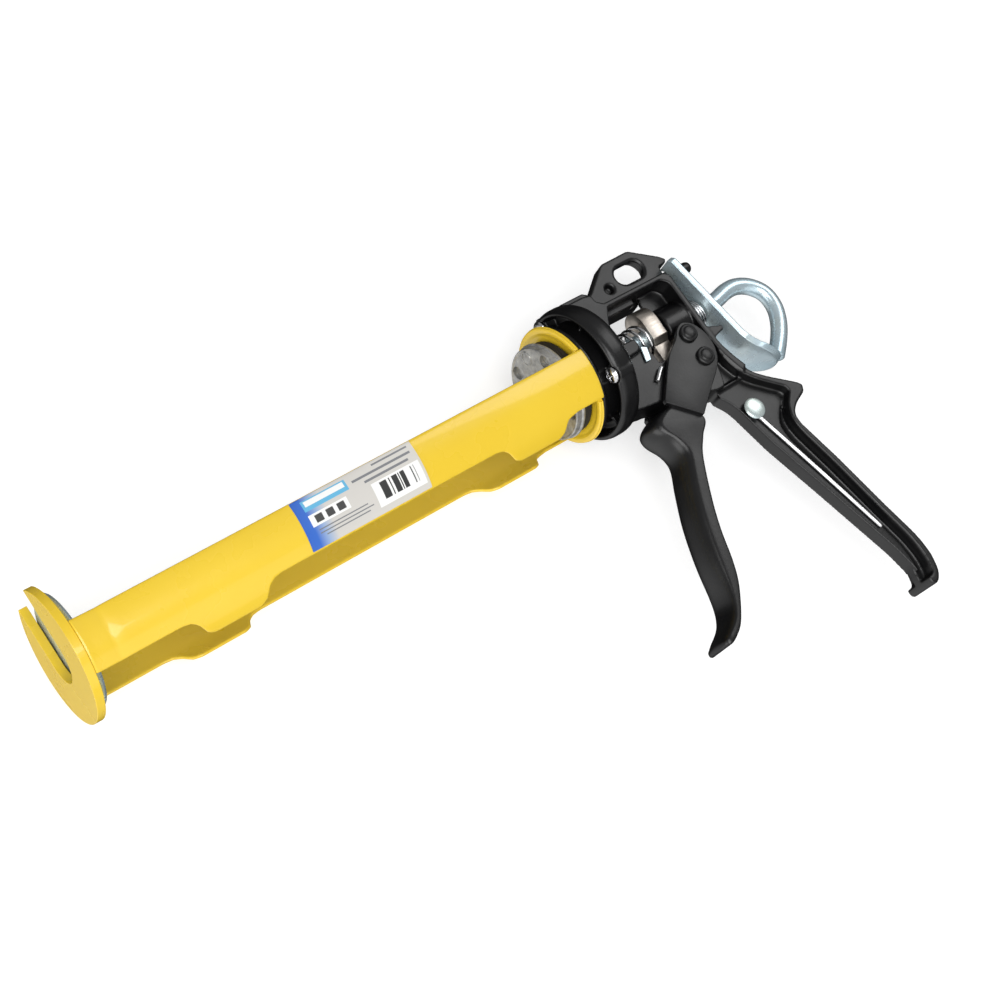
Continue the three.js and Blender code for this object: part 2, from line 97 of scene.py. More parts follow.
DRIVE_PIN = (59.7, -8.9)
DRIVE_PIN_R = 2.3
PIN_END = 11.3  # z at which each trigger pin meets its head
SCREW_CIRCLE = 25.2
SCREW_ANGLES = (357, 117, 237)
SCREW_R = 3.6
HANG_HOLE = (59.4, 28.3)
HANG_HALF = 2.9  # half the straight stretch of the hanging hole
SMALL_HOLE = (46.2, 25.6)
RIVET = (68.8, -49.3)
NEEDLE_Z = 4.85
PLATE_LEAN = 9.5  # degrees that the release plate leans back
PLATE_FOOT = (74.6, 20)  # front of the release plate at its peg
PLATE_HALF = 11.6
DRIVE_SPRING_X = 23.1  # fixed ends of the two coil springs
RELEASE_SPRING_X = 72.1
DEG = math.radians(1)


# ---- Mesh kit ------------------------------------------------------------------------
ROUND = 40.0  # radius of an outline's corner that states none
TINY = 0.02  # an outline ignores corners and steps smaller than this


def new_object(name, mesh):
    obj = bpy.data.objects.new(name, mesh)
    bpy.context.scene.collection.objects.link(obj)
    return obj


def from_bmesh(name, bm):
    bmesh.ops.recalc_face_normals(bm, faces=bm.faces)
    mesh = bpy.data.meshes.new(name)
    bm.to_mesh(mesh)
    bm.free()
    return new_object(name, mesh)


def apply_modifiers(obj):
    graph = bpy.context.evaluated_depsgraph_get()
    mesh = bpy.data.meshes.new_from_object(obj.evaluated_get(graph))
    obj.modifiers.clear()
    old = obj.data
    obj.data = mesh
    bpy.data.meshes.remove(old)


def remove(obj):
    mesh = obj.data
    bpy.data.objects.remove(obj)
    bpy.data.meshes.remove(mesh)


def rounded(points):
    """A closed outline with its corners rounded. A third number on a point is its own radius,
    and any other corner is as round as ROUND and its neighbours allow."""
    out = []
    for i, point in enumerate(points):
        before = Vector(points[i - 1][:2])
        here = Vector(point[:2])
        after = Vector(points[(i + 1) % len(points)][:2])
        back = before - here
        ahead = after - here
        turn = math.pi - back.angle(ahead)
        r = point[2] if len(point) > 2 else ROUND
        reach = min(r * math.tan(turn / 2), 0.5 * back.length, 0.5 * ahead.length)
        if reach < TINY:
            out.append(here)
            continue
        start = here + back.normalized() * reach
        end = here + ahead.normalized() * reach
        steps = max(2, math.ceil(turn / (9 * DEG)))
        for k in range(steps + 1):
            t = k / steps
            spot = start * (1 - t) ** 2 + here * 2 * t * (1 - t) + end * t * t
            if not out or (spot - out[-1]).length > TINY:
                out.append(spot)
    if (out[0] - out[-1]).length < TINY:
        out.pop()
    return out


def arc(cx, cy, r, start, end, steps):
    """Points on a circle, start to end in degrees, for an outline that leaves them unrounded."""
    angles = [(start + (end - start) * k / steps) * DEG for k in range(steps + 1)]
    return [(cx + r * math.cos(a), cy + r * math.sin(a), 0) for a in angles]


def prism(name, points, low, high, plane="xy"):
    """An outline in x and y from z low to high, or with "zy" in z and y from x low to high."""
    ring = rounded(points)
    bm = bmesh.new()

    def put(spot, height):
        return bm.verts.new((spot.x, spot.y, height) if plane == "xy" else (height, spot.y, spot.x))

    bottom = [put(p, low) for p in ring]
    top = [put(p, high) for p in ring]
    bm.faces.new(bottom)
    bm.faces.new(top)
    for i in range(len(ring)):
        bm.faces.new((bottom[i - 1], bottom[i], top[i], top[i - 1]))
    return from_bmesh(name, bm)


def block(name, low, high):
    points = [(low[0], low[1], 0), (high[0], low[1], 0), (high[0], high[1], 0), (low[0], high[1], 0)]
    return prism(name, points, low[2], high[2])


def lathe(name, profile, segments=128, axis="x", centre=(0, 0), closed=False):
    """Turns [(along, radius), ...] about a line parallel to x or z. centre is y, z or x, y."""
    bm = bmesh.new()

    def ring(along, r):
        count = 1 if r < 1e-6 else segments
        made = []
        for k in range(count):
            a = 2 * math.pi * k / segments
            u = centre[0] + r * math.cos(a)
            v = centre[1] + r * math.sin(a)
            made.append(bm.verts.new((along, u, v) if axis == "x" else (u, v, along)))
        return made

    rings = [ring(along, r) for along, r in profile]
    if closed:
        rings.append(rings[0])
    for a, b in zip(rings, rings[1:]):
        for k in range(segments):
            n = (k + 1) % segments
            loop = [a[k % len(a)], a[n % len(a)], b[n % len(b)], b[k % len(b)]]
            kept = [v for i, v in enumerate(loop) if v is not loop[i - 1]]
            if len(kept) > 2:
                bm.faces.new(kept)
    return from_bmesh(name, bm)


def rod(name, start, end, r, centre, axis="x", segments=64):
    return lathe(name, [(start, 0), (start, r), (end, r), (end, 0)], segments, axis, centre)


def spline(points, per=14):
    """A Catmull-Rom line through 3-D points."""
    knots = [Vector(p) for p in points]
    knots = [knots[0] * 2 - knots[1]] + knots + [knots[-1] * 2 - knots[-2]]
    out = []
    for a, b, c, d in zip(knots, knots[1:], knots[2:], knots[3:]):
        for k in range(per):
            t = k / per
            out.append(
                0.5 * (2 * b + (c - a) * t + (2 * a - 5 * b + 4 * c - d) * t * t
                       + (3 * b - a - 3 * c + d) * t ** 3)
            )
    return out + [knots[-2]]


def tube(name, path, radius, sides=24, nose=0.6):
    """A round bar along a path. Its ends are rounded over nose times its radius."""
    lengths = [0.0]
    for a, b in zip(path, path[1:]):
        lengths.append(lengths[-1] + (b - a).length)
    total = lengths[-1]
    extra = [nose * radius * f for f in (0.06, 0.2, 0.45, 0.75, 1)]
    stations = sorted(set(lengths + extra + [total - e for e in extra]))
    bm = bmesh.new()
    rings = []
    side = None
    last = None
    i = 0
    for s in stations:
        while i < len(path) - 2 and s > lengths[i + 1]:
            i += 1
        t = (s - lengths[i]) / (lengths[i + 1] - lengths[i])
        spot = path[i].lerp(path[i + 1], t)
        ahead = path[min(i + 2, len(path) - 1)] - path[i + 1]
        here = path[i + 1] - path[i]
        along = here.normalized().lerp((ahead if ahead.length else here).normalized(), t).normalized()
        if side is None:
            side = along.orthogonal().normalized()
        else:
            side = (side - along * side.dot(along)).normalized()
        end = min(s, total - s)
        f = min(1.0, end / (nose * radius)) if nose else 1.0
        r = radius * (0.62 + 0.38 * math.sqrt(1 - (1 - f) ** 2))
        if last is not None and (spot - last).length < 1e-4:
            continue
        last = spot
        other = along.cross(side)
        rings.append([
            bm.verts.new(spot + (side * math.cos(a) + other * math.sin(a)) * r)
            for a in (2 * math.pi * k / sides for k in range(sides))
        ])
    for a, b in zip(rings, rings[1:]):
        for k in range(sides):
            bm.faces.new((a[k - 1], a[k], b[k], b[k - 1]))
    bm.faces.new(rings[0])
    bm.faces.new(rings[-1])
    return from_bmesh(name, bm)


def combine(base, others, operation):
    """Joins others to base, or cuts them from it."""
    for other in others:
        step = base.modifiers.new("combine", "BOOLEAN")
        step.object = other
        step.operation = operation
        step.solver = "MANIFOLD"
    apply_modifiers(base)
    for other in others:
        remove(other)
    return base


def cast(obj, voxel, smooth, keep):
    """Turns crisp solids into one skin with soft edges, and keeps that share of its faces."""
    remesh = obj.modifiers.new("skin", "REMESH")
    remesh.mode = "VOXEL"
    remesh.voxel_size = voxel
    soften = obj.modifiers.new("soften", "SMOOTH")
    soften.factor = 0.5
    soften.iterations = smooth
    thin = obj.modifiers.new("thin", "DECIMATE")
    thin.ratio = keep
    apply_modifiers(obj)
    return obj


def bevelled(obj, width, segments, limit=35):
    """Bevels the edges that turn by more than limit degrees."""
    bevel = obj.modifiers.new("bevel", "BEVEL")
    bevel.width = width
    bevel.segments = segments
    bevel.limit_method = "ANGLE"
    bevel.angle_limit = limit * DEG
    apply_modifiers(obj)
    return obj


def shade(obj, limit=40):
    """Smooth shading, with creases kept at edges sharper than limit degrees."""
    bm = bmesh.new()
    bm.from_mesh(obj.data)
    for face in bm.faces:
        face.smooth = True
    for edge in bm.edges:
        edge.smooth = edge.calc_face_angle(0) < limit * DEG
    bm.to_mesh(obj.data)
    bm.free()


def piece(obj, body, slot, material, *nodes, weighted=False, limit=40):
    """Shades a finished mesh, takes it into the row frame and hands it to its body."""
    shade(obj, limit)
    if weighted:
        even = obj.modifiers.new("even", "WEIGHTED_NORMAL")
        even.keep_sharp = True
        apply_modifiers(obj)
    obj.data.transform(TO_ROW)
    obj.data.materials.clear()
    obj.data.materials.append(material)
    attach(obj, body)
    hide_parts(*nodes)
    return obj


# ---- Materials -----------------------------------------------------------------------
def linear(r, g, b):
    """A display colour from 0 to 255 as scene-linear numbers."""
    def one(value):
        c = value / 255
        return c / 12.92 if c <= 0.04045 else ((c + 0.055) / 1.055) ** 2.4

    return one(r), one(g), one(b), 1.0


WHITE_INK = linear(238, 238, 236)
GREY_INK = linear(120, 122, 126)
DARK_INK = linear(66, 66, 66)
BAR_INK = linear(50, 50, 50)
CYAN_INK = linear(96, 176, 214)
# Each patch: from and to as shares of the label's length, from and to in y, ink.
LABEL_PATCHES = [
    (0.07, 0.43, -2.6, 1.6, CYAN_INK), (0.09, 0.41, -1.0, 1.1, WHITE_INK),
    (0.07, 0.38, -8.6, -4.2, WHITE_INK), (0.11, 0.17, -7.8, -5.0, DARK_INK),
    (0.20, 0.26, -7.8, -5.0, DARK_INK), (0.29, 0.35, -7.8, -5.0, DARK_INK),
    (0.66, 0.96, 1.1, 1.8, GREY_INK), (0.47, 0.96, -1.3, -0.4, GREY_INK), (0.55, 0.92, -3.5, -2.6, GREY_INK),
    (0.10, 0.50, -10.4, -10.0, GREY_INK), (0.10, 0.54, -11.6, -11.2, GREY_INK),
    (0.14, 0.50, -12.8, -12.4, GREY_INK), (0.58, 0.98, -13.6, -4.8, WHITE_INK),
]
BARS = (0.64, 0.93, -11.8, -5.6)
BARS_PER_MM = 2.1


class Finish:
    """A Principled material with noise patterns fixed to the piece."""

    def __init__(self, name, roughness, metallic=0.0, coat=0.0):
        self.material = bpy.data.materials.new(name)
        self.material.use_nodes = True
        self.tree = self.material.node_tree
        self.shader = self.tree.nodes["Principled BSDF"]
        self.shader.inputs["Metallic"].default_value = metallic
        self.shader.inputs["Roughness"].default_value = roughness
        self.shader.inputs["Coat Weight"].default_value = coat
        self.shader.inputs["Coat Roughness"].default_value = 0.05
        self.place = self.tree.nodes.new("ShaderNodeTexCoord").outputs["Object"]
        self.bumps = None

    def node(self, kind, **values):
        made = self.tree.nodes.new(kind)
        for key, value in values.items():
            setattr(made, key, value)
        return made

    def link(self, source, target):
        self.tree.links.new(source, target)

    def noise(self, scale, detail=3.0, stretch=(1, 1, 1), roughness=0.5):
        mapping = self.node("ShaderNodeMapping")
        mapping.inputs["Scale"].default_value = stretch
        self.link(self.place, mapping.inputs["Vector"])
        made = self.node("ShaderNodeTexNoise")
        made.inputs["Scale"].default_value = scale
        made.inputs["Detail"].default_value = detail
        made.inputs["Roughness"].default_value = roughness
        self.link(mapping.outputs["Vector"], made.inputs["Vector"])
        return made.outputs["Fac"]

    def ramp(self, fac, stops):
        made = self.node("ShaderNodeValToRGB")
        elements = made.color_ramp.elements
        while len(elements) < len(stops):
            elements.new(0.5)
        for element, (position, colour) in zip(elements, stops):
            element.position = position
            element.color = colour
        self.link(fac, made.inputs["Fac"])
        return made.outputs["Color"]

    def colour(self, fac, stops):
        self.link(self.ramp(fac, stops), self.shader.inputs["Base Color"])
        return self

    def uneven(self, fac, low, high):
        """Roughness that wanders between low and high."""
        made = self.node("ShaderNodeMapRange")
        made.inputs["From Min"].default_value = 0.3
        made.inputs["From Max"].default_value = 0.7
        made.inputs["To Min"].default_value = low
        made.inputs["To Max"].default_value = high
        self.link(fac, made.inputs["Value"])
        self.link(made.outputs["Result"], self.shader.inputs["Roughness"])
        return self

    def scaled(self, value, factor, offset):
        made = self.node("ShaderNodeMath", operation="MULTIPLY_ADD")
        self.link(value, made.inputs[0])
        made.inputs[1].default_value = factor
        made.inputs[2].default_value = offset
        return made.outputs[0]

    def within(self, value, low, high):
        """1 where value lies between low and high, else 0."""
        made = self.node("ShaderNodeMath", operation="COMPARE")
        self.link(value, made.inputs[0])
        made.inputs[1].default_value = (low + high) / 2
        made.inputs[2].default_value = (high - low) / 2
        return made.outputs[0]

    def both(self, a, b):
        made = self.node("ShaderNodeMath", operation="MULTIPLY")
        self.link(a, made.inputs[0])
        self.link(b, made.inputs[1])
        return made.outputs[0]

    def mixed(self, mask, under, paint):
        made = self.node("ShaderNodeMix", data_type="RGBA")
        self.link(mask, made.inputs["Factor"])
        self.link(under, made.inputs[6])
        made.inputs[7].default_value = paint
        return made.outputs[2]

    def bump(self, height, strength, distance):
        made = self.node("ShaderNodeBump")
        made.inputs["Strength"].default_value = strength
        made.inputs["Distance"].default_value = distance
        self.link(height, made.inputs["Height"])
        if self.bumps is not None:
            self.link(self.bumps, made.inputs["Normal"])
        self.bumps = made.outputs["Normal"]
        self.link(self.bumps, self.shader.inputs["Normal"])
        return self


def yellow_paint():
    paint = Finish("yellow_paint", 0.28, coat=0.5)
    paint.colour(paint.noise(22), [(0.3, (0.78, 0.53, 0.026, 1)), (0.7, (0.82, 0.57, 0.034, 1))])
    paint.uneven(paint.noise(60), 0.24, 0.32)
    paint.bump(paint.noise(380, 2), 0.10, 0.0003)
    return paint.material


def black_paint():
    paint = Finish("black_paint", 0.31)
    paint.colour(paint.noise(45), [(0.35, linear(11, 11, 12)), (0.65, linear(15, 15, 16))])
    paint.uneven(paint.noise(70), 0.27, 0.35)
    paint.bump(paint.noise(900, 3), 0.16, 0.0002)
    return paint.material


def zinc_plate():
    zinc = Finish("zinc_plate", 0.28, metallic=0.65)
    tint = [(0.3, linear(190, 216, 228)), (0.5, linear(204, 222, 230)), (0.72, linear(212, 222, 216))]
    zinc.colour(zinc.noise(38, 4), tint)
    zinc.uneven(zinc.noise(160, 4), 0.20, 0.34)
    zinc.bump(zinc.noise(700, 4), 0.08, 0.0002)
    return zinc.material


def cast_alloy():
    alloy = Finish("cast_alloy", 0.5, metallic=0.85)
    mottle = [(0.3, linear(150, 150, 149)), (0.5, linear(184, 184, 182)), (0.7, linear(212, 212, 209))]
    alloy.colour(alloy.noise(330, 5, roughness=0.7), mottle)
    alloy.uneven(alloy.noise(260, 4), 0.42, 0.62)
    alloy.bump(alloy.noise(700, 5), 0.5, 0.0003)
    return alloy.material


def brushed_steel():
    steel = Finish("brushed_steel", 0.34, metallic=1.0)
    steel.colour(steel.noise(90), [(0.3, linear(192, 183, 173)), (0.7, linear(226, 218, 208))])
    scratch = steel.noise(260, 5, stretch=(0.25, 6, 6))
    steel.uneven(scratch, 0.26, 0.46)
    steel.bump(scratch, 0.25, 0.0001)
    return steel.material


def bright_steel():
    steel = Finish("bright_steel", 0.14, metallic=1.0)
    steel.colour(steel.noise(120), [(0.3, linear(214, 214, 216)), (0.7, linear(238, 238, 238))])
    steel.uneven(steel.noise(300), 0.09, 0.2)
    return steel.material


def black_rubber():
    rubber = Finish("black_rubber", 0.7)
    rubber.colour(rubber.noise(200), [(0.3, linear(20, 19, 17)), (0.7, linear(32, 30, 26))])
    rubber.bump(rubber.noise(800), 0.2, 0.0002)
    return rubber.material


def label_film():
    """A pale film: a blue fade at its front end, plain boxes, strips and a bar pattern."""
    film = Finish("label_film", 0.36, coat=0.15)
    split = film.node("ShaderNodeSeparateXYZ")
    film.link(film.place, split.inputs[0])
    along = film.scaled(split.outputs["X"], 1 / MM, -ORIGIN.x / MM - LABEL_FRONT)
    down = film.scaled(split.outputs["Y"], 1 / MM, -ORIGIN.y / MM)
    length = LABEL_BACK - LABEL_FRONT
    fade = film.ramp(film.scaled(along, 1 / length, 0), [
        (0.0, linear(44, 96, 190)), (0.07, linear(52, 104, 194)), (0.15, linear(150, 172, 204)),
        (0.22, linear(202, 199, 194)), (1.0, linear(206, 203, 197)),
    ])

    def inside(x0, x1, y0, y1):
        return film.both(film.within(along, x0 * length, x1 * length), film.within(down, y0, y1))

    colour = fade
    for *box, ink in LABEL_PATCHES:
        colour = film.mixed(inside(*box), colour, ink)
    cells = film.node("ShaderNodeMath", operation="FLOOR")
    film.link(film.scaled(along, BARS_PER_MM, 0), cells.inputs[0])
    bars = film.node("ShaderNodeTexWhiteNoise", noise_dimensions="1D")
    film.link(cells.outputs[0], bars.inputs["W"])
    dark = film.both(film.within(bars.outputs["Value"], 0.5, 2), inside(*BARS))
    film.link(film.mixed(dark, colour, BAR_INK), film.shader.inputs["Base Color"])
    return film.material


YELLOW = yellow_paint()
BLACK = black_paint()
ZINC = zinc_plate()
ALLOY = cast_alloy()
STEEL = brushed_steel()
CHROME = bright_steel()
RUBBER = black_rubber()
LABEL = label_film()


# ---- Cradle --------------------------------------------------------------------------
def front_plate():
    """A disc with a round-ended slot from its middle up. The slot's two lips are rounded."""
    steps = 150
    lip = math.degrees(math.asin(SLOT_HALF / CRADLE_R))
    rim = arc(0, 0, CRADLE_R, 90 + lip, 450 - lip, steps)
    bottom = arc(0, 0, SLOT_HALF, 0, -180, 40)
    shape = [(x, y, 2.2 if i in (0, steps) else 0) for i, (x, y, _) in enumerate(rim)]
    plate = prism("front_plate_skin", shape + bottom, FRONT, PLATE_BACK, plane="zy")
    bevelled(plate, 0.85, 4)
    piece(plate, "cradle", "yellow_paint", YELLOW, "front_plate", weighted=True)


def wall_edge(x):
    """Height of the walls' lower edge at x: straight, with two tabs."""
    ahead, behind, tab = -16.0, -16.9, -21.8
    height = ahead if x < -20 else behind
    steps = [(-10, ahead), (-6.5, -16.5), (-4, -18), (-1.5, -21), (1.5, tab)]
    for start, end, level in ((-183, -160.5, ahead), (-43, -20.2, behind)):
        ends = [(-2, tab), (0.8, -20.8), (3, -18), (5.5, level - 0.5), (9, level)]
        line = [(start + dx, y) for dx, y in steps] + [(end + dx, y) for dx, y in ends]
        for (x0, y0), (x1, y1) in zip(line, line[1:]):
            if x0 <= x <= x1:
                height = y0 + (y1 - y0) * (x - x0) / (x1 - x0)
    return height


def arc_sheet(name, xs, low_edge, top_angle, inner, outer, side=1, flare=None):
    """A curved sheet about the barrel axis with rounded edges. low_edge(x) is its lower height,
    top_angle its upper end in degrees, and flare(x) how far it stands out."""
    bm = bmesh.new()
    rings = []
    mid = (inner + outer) / 2
    half = (outer - inner) / 2
    across = 26
    for i, x in enumerate(xs):
        inset = 0.3 if i in (0, len(xs) - 1) else 0.0
        lift = flare(x) if flare else 0.0
        radius = mid + lift
        low = math.asin(low_edge(x) / radius)
        high = top_angle * DEG
        thick = half - inset * half
        pad = (half + inset * half) / radius
        loop = []
        for k in range(across + 1):
            loop.append((low + pad + (high - low - 2 * pad) * k / across, radius + thick))
        for k in range(1, 5):
            a = math.pi * k / 5
            loop.append((high - pad + thick * math.sin(a) / radius, radius + thick * math.cos(a)))
        for k in range(across, -1, -1):
            loop.append((low + pad + (high - low - 2 * pad) * k / across, radius - thick))
        for k in range(1, 5):
            a = math.pi * k / 5
            loop.append((low + pad - thick * math.sin(a) / radius, radius - thick * math.cos(a)))
        rings.append([bm.verts.new((x, r * math.sin(a), side * r * math.cos(a))) for a, r in loop])
    for a, b in zip(rings, rings[1:]):
        for k in range(len(a)):
            bm.faces.new((a[k - 1], a[k], b[k], b[k - 1]))
    bm.faces.new(rings[0])
    bm.faces.new(rings[-1])
    return from_bmesh(name, bm)


def cradle_walls():
    xs = [WALL_FRONT, WALL_FRONT + 0.25]
    x = WALL_FRONT + 1
    while x < WALL_BACK - 0.6:
        xs.append(x)
        x += 1.0
    xs += [WALL_BACK - 0.25, WALL_BACK]

    def flare(x):
        """How far the wall stands out at x: a flared front edge, then a slight waist."""
        t = max(0.0, 1 - (x - WALL_FRONT) / 9)
        return 0.55 * t * t - 0.25 * max(0.0, 1 - abs(x - WALL_FRONT - 10) / 5) ** 2

    for name, side in (("left_wall", 1), ("right_wall", -1)):
        wall = arc_sheet(name + "_skin", xs, wall_edge, WALL_TOP, CRADLE_R - SHEET, CRADLE_R, side, flare)
        piece(wall, "cradle", "yellow_paint", YELLOW, name)


def product_label():
    steps = 40
    step = (LABEL_BACK - LABEL_FRONT) / steps
    xs = [LABEL_FRONT + step * k for k in range(steps + 1)]
    low = LABEL_R * math.sin(-36.5 * DEG)
    film = arc_sheet("label_skin", xs, lambda x: low, WALL_TOP - 1, LABEL_R, LABEL_R + 0.12)
    piece(film, "cradle", "label_film", LABEL, "product_label")


def rear_ring():
    profile = [
        (1.1, 13.7), (0.9, 14.2), (0.9, 21.6), (0.7, 22.3), (0.15, 23.0), (0.05, 23.4), (0.0, 24.6),
        (0.1, 25.1), (0.4, 25.35), (0.8, 25.4), (1.0, 25.3), (1.15, 25.4), (1.45, 25.65), (1.8, 25.5),
        (2.0, 25.1), (2.0, 13.9), (1.8, 13.7),
    ]
    ring = lathe("rear_ring_skin", profile, 160, closed=True)
    low, high = -44.5, WALL_TOP + 1
    lap = arc(0, 0, 30, low, high, 40) + arc(0, 0, CRADLE_R - SHEET - 0.3, high, low, 40)
    mirror = [(-z, y, r) for z, y, r in lap]
    combine(ring, [prism("step", lap, -1, 3, "zy"), prism("step", mirror, -1, 3, "zy")], "DIFFERENCE")
    piece(ring, "cradle", "yellow_paint", YELLOW, "rear_ring", limit=50)


# ---- Body ----------------------------------------------------------------------------
def round_head():
    return lathe("casting", [
        (-3.2, 0), (-3.2, 12.8), (2.4, 12.8), (2.4, 24.4), (2.8, 24.9), (4, 24.9), (5, 24), (5.4, 22),
        (15.5, 22), (15.5, 26), (11.2, 26.1), (9.6, 26.5), (9.1, 27.2), (9.3, 28), (10.4, 28.8),
        (12, 29.1), (15.4, BODY_R), (17, 28.8), (18.5, 28), (19.7, 26.6), (20.6, 24.4), (21.2, 20),
        (21.8, 14), (21.8, 0),
    ], 160)


def on_circle(r, angle):
    return r * math.cos(angle * DEG), r * math.sin(angle * DEG)


def screw_spots():
    return [on_circle(SCREW_CIRCLE, angle) for angle in SCREW_ANGLES]


NECK = [
    (18, -6, 0), (18, 26.2, 0), (28, 26.4, 2), (32.4, 25.4, 1.5), (32.8, 22, 2), (35.6, 19.8, 1.5),
    (36, 17.4, 1), (31.8, 10.9, 12), (30.2, 4.4), (30.4, 0.7, 0.4), (37, 0.7, 0.6), (37.6, 0, 0.6),
    (37.6, -3.4, 0.5), (36, -5, 1), (24, -6, 0),
]
HANG_PLATE = [
    (20, 17.8, 0), (20, 26.6, 0), (33, 26.4, 3), (36.8, 27.4, 1.5), (48.6, 36.2, 0.6), (50.4, 36.9, 0.6),
    (64.8, 37, 3), (77, 28.4, 2), (79, 26.2, 0.8), (77.8, 24.8, 0.5), (73.6, 24.4, 0.3), (73.3, 17.8, 0),
]
REAR_FRAME = [
    (20, 17.6, 0), (20, 19.8, 0), (69.4, 19.8, 2.5), (71.4, 17.8, 2.5), (71.4, -16), (73, -24),
    (76, -32, 0), (73, -34, 0), (69.6, -24), (68.8, -14), (68.6, 14.6, 3), (65.6, 17.6, 3),
]
LOWER_WEB = [
    (19, -26, 0), (19, 2, 0), (39.6, 2, 0.6), (41.4, -2), (42.4, -13.2, 1), (67, -13.2, 0), (66.4, -24),
    (62.4, -34.8, 2), (59.4, -35.4), (52, -33.6), (38, -28.6), (30, -27.4),
]
ROOF = [
    ([(24, 14.9, 0), (24, 18.4, 0), (52, 18.4, 0), (52, 14.9, 1)], -9.5, 3.8),
    ([(51, 14.9, 0), (51, 18.4, 0), (58.5, 18.4, 0), (58.5, 14.9, 2)], -9.5, -3),
    ([(56.6, 6, 0), (56.6, 15, 2), (58.4, 18.4, 0), (69.4, 18.4, 0), (69.4, 6, 0)], -2, 0),
]
GRIP_BACK = [
    (73.2, -22, 0), (74.2, -30), (77, -36), (82.6, -41), (93, -49.2), (94.4, -51, 1.5), (93.2, -54, 4),
    (86, -56.8), (82.4, -60), (81.8, -64), (87, -86), (92.4, -113), (96, -129), (96.8, -139), (94.6, -147),
    (91.8, -150.2), (89.4, -150.9),
]
GRIP_FRONT = [
    (87.9, -149.6), (87.8, -145.6), (89, -139), (87.4, -128.5), (75.8, -91), (68.2, -65.6), (65, -42.4, 0),
]
GRIP_POCKET = [
    (58, -30, 0), (66, -18, 0), (68.8, -18, 1), (68.8, -24), (71.4, -33.4), (77.4, -40.2),
    (86.2, -48.2, 2), (87, -50.6, 1.5), (82, -55.2), (79.6, -61), (79.8, -67), (84.4, -87), (89.8, -114),
    (93.2, -130), (93.4, -140), (91.4, -146.4, 2), (84, -147.4, 0), (70, -130, 0), (50, -70, 0),
]
PLATEAU = [
    (59, -38, 0), (62, -16, 0), (70, -16, 0), (70.6, -24), (73, -34), (79, -41), (88, -49, 0), (88, -51, 0),
    (80.2, -55.4), (76, -61), (76.2, -68), (81.6, -90), (87.6, -115), (90.6, -129.4), (90.8, -136.4),
    (89.4, -143.4, 1), (88.8, -139), (87.2, -130.2), (75.6, -91), (67.8, -65.6), (63, -44),
]
GRIP_RIB = [(58.6, -34.4, 0), (73, -34.2, 0), (73.6, -35.6, 0), (58.6, -35.8, 0)]
NUB = [
    (70, -9.4, 0), (74.4, -10.6), (76, -11.6), (77.8, -11.8, 0.6), (78.2, -12.9, 0.8), (77.6, -14, 0.6),
    (75, -14.4), (70, -16, 0),
]


def oval(name, r, low, high):
    """A long hole at the hanging hole's place, round-ended with radius r."""
    x, y = HANG_HOLE
    points = arc(x + HANG_HALF, y, r, -90, 90, 16) + arc(x - HANG_HALF, y, r, 90, 270, 16)
    return prism(name, points, low, high)


def head_and_frames():
    """The round head with everything that is cast on to it above the grip."""
    added = [prism("rib", [(19, 26, 0), (21, 29.6, 2), (34, 29.6, 2), (38, 26.4, 0)], -2.6, 2.6)]
    added += [rod("boss", 10.4, 18, 4.3, spot) for spot in screw_spots()]
    for angle in (57, 177, 297):
        fin = block("fin", (11.5, 20, -0.5), (18, 27, 0.5))
        fin.data.transform(Matrix.Rotation(angle * DEG, 4, "X"))
        added.append(fin)
    added += [
        prism("neck", NECK, -FLANGE_HALF, FLANGE_HALF),
        prism("web", LOWER_WEB, -WEB_HALF, WEB_HALF),
        prism("plate", HANG_PLATE, -3.6, 3.6),
        prism("frame", REAR_FRAME, -FLANGE_HALF, FLANGE_HALF),
    ]
    added += [prism("roof", points, low, high) for points, low, high in ROOF]
    return combine(round_head(), added, "UNION")


def grip():
    """A border round a thin web, with a raised plateau and a rib on the web."""
    web = 2.2
    outer = prism("grip", [(62, -36, 0), (68, -20, 0)] + GRIP_BACK + GRIP_FRONT, -8.8, 8.8)
    pockets = [prism("pocket", GRIP_POCKET, web, 12), prism("pocket", GRIP_POCKET, -12, -web)]
    combine(outer, pockets, "DIFFERENCE")
    return combine(outer, [prism("plateau", PLATEAU, -3.8, 3.8), prism("rib", GRIP_RIB, -5, 5)], "UNION")


def casting_holes():
    """The rod's bore, the pins' openings, the holes of the hang plate and the screws' wells."""
    cuts = [
        rod("bore", -10, 90, BORE_R, (0, 0)),
        block("pin_room", (55.5, -13, -12), (64.6, -4.95, 12)),
        rod("pivot_hole", -12, 12, PIVOT_R, PIVOT, "z"),
        oval("hang_hole", 4.3, -5, 5),
        oval("hang_step", 5.1, 3.0, 5),
        oval("hang_recess", 5.8, -5, 0.2),
        rod("small_hole", 0.5, 5, 1.9, SMALL_HOLE, "z"),
        rod("small_step", 3.0, 5, 2.5, SMALL_HOLE, "z"),
    ]
    return cuts + [rod("screw_hole", 5, 10.4, SCREW_R + 0.4, spot) for spot in screw_spots()]


def body_casting():
    body = combine(head_and_frames(), [grip()], "UNION")
    channel = block("slot", (38, -16.4, -CHANNEL_HALF), (68.8, 2.1, CHANNEL_HALF))
    combine(body, [channel, rod("seat", 21.9, 45, 8.4, (0, 0))], "DIFFERENCE")
    combine(body, [
        rod("rod_boss", 56, 71, 8.5, (0, 0)),
        tube("peg", [Vector((70 + k, 19.4, 0)) for k in range(20)], 2.7, 32, 0.9),
        prism("nub", NUB, 6.4, 9.3),
    ], "UNION")
    combine(body, casting_holes(), "DIFFERENCE")
    cast(body, 0.42, 6, 0.4)
    body.name = "casting_skin"
    piece(body, "frame", "black_paint", BLACK, "body_casting", limit=180)


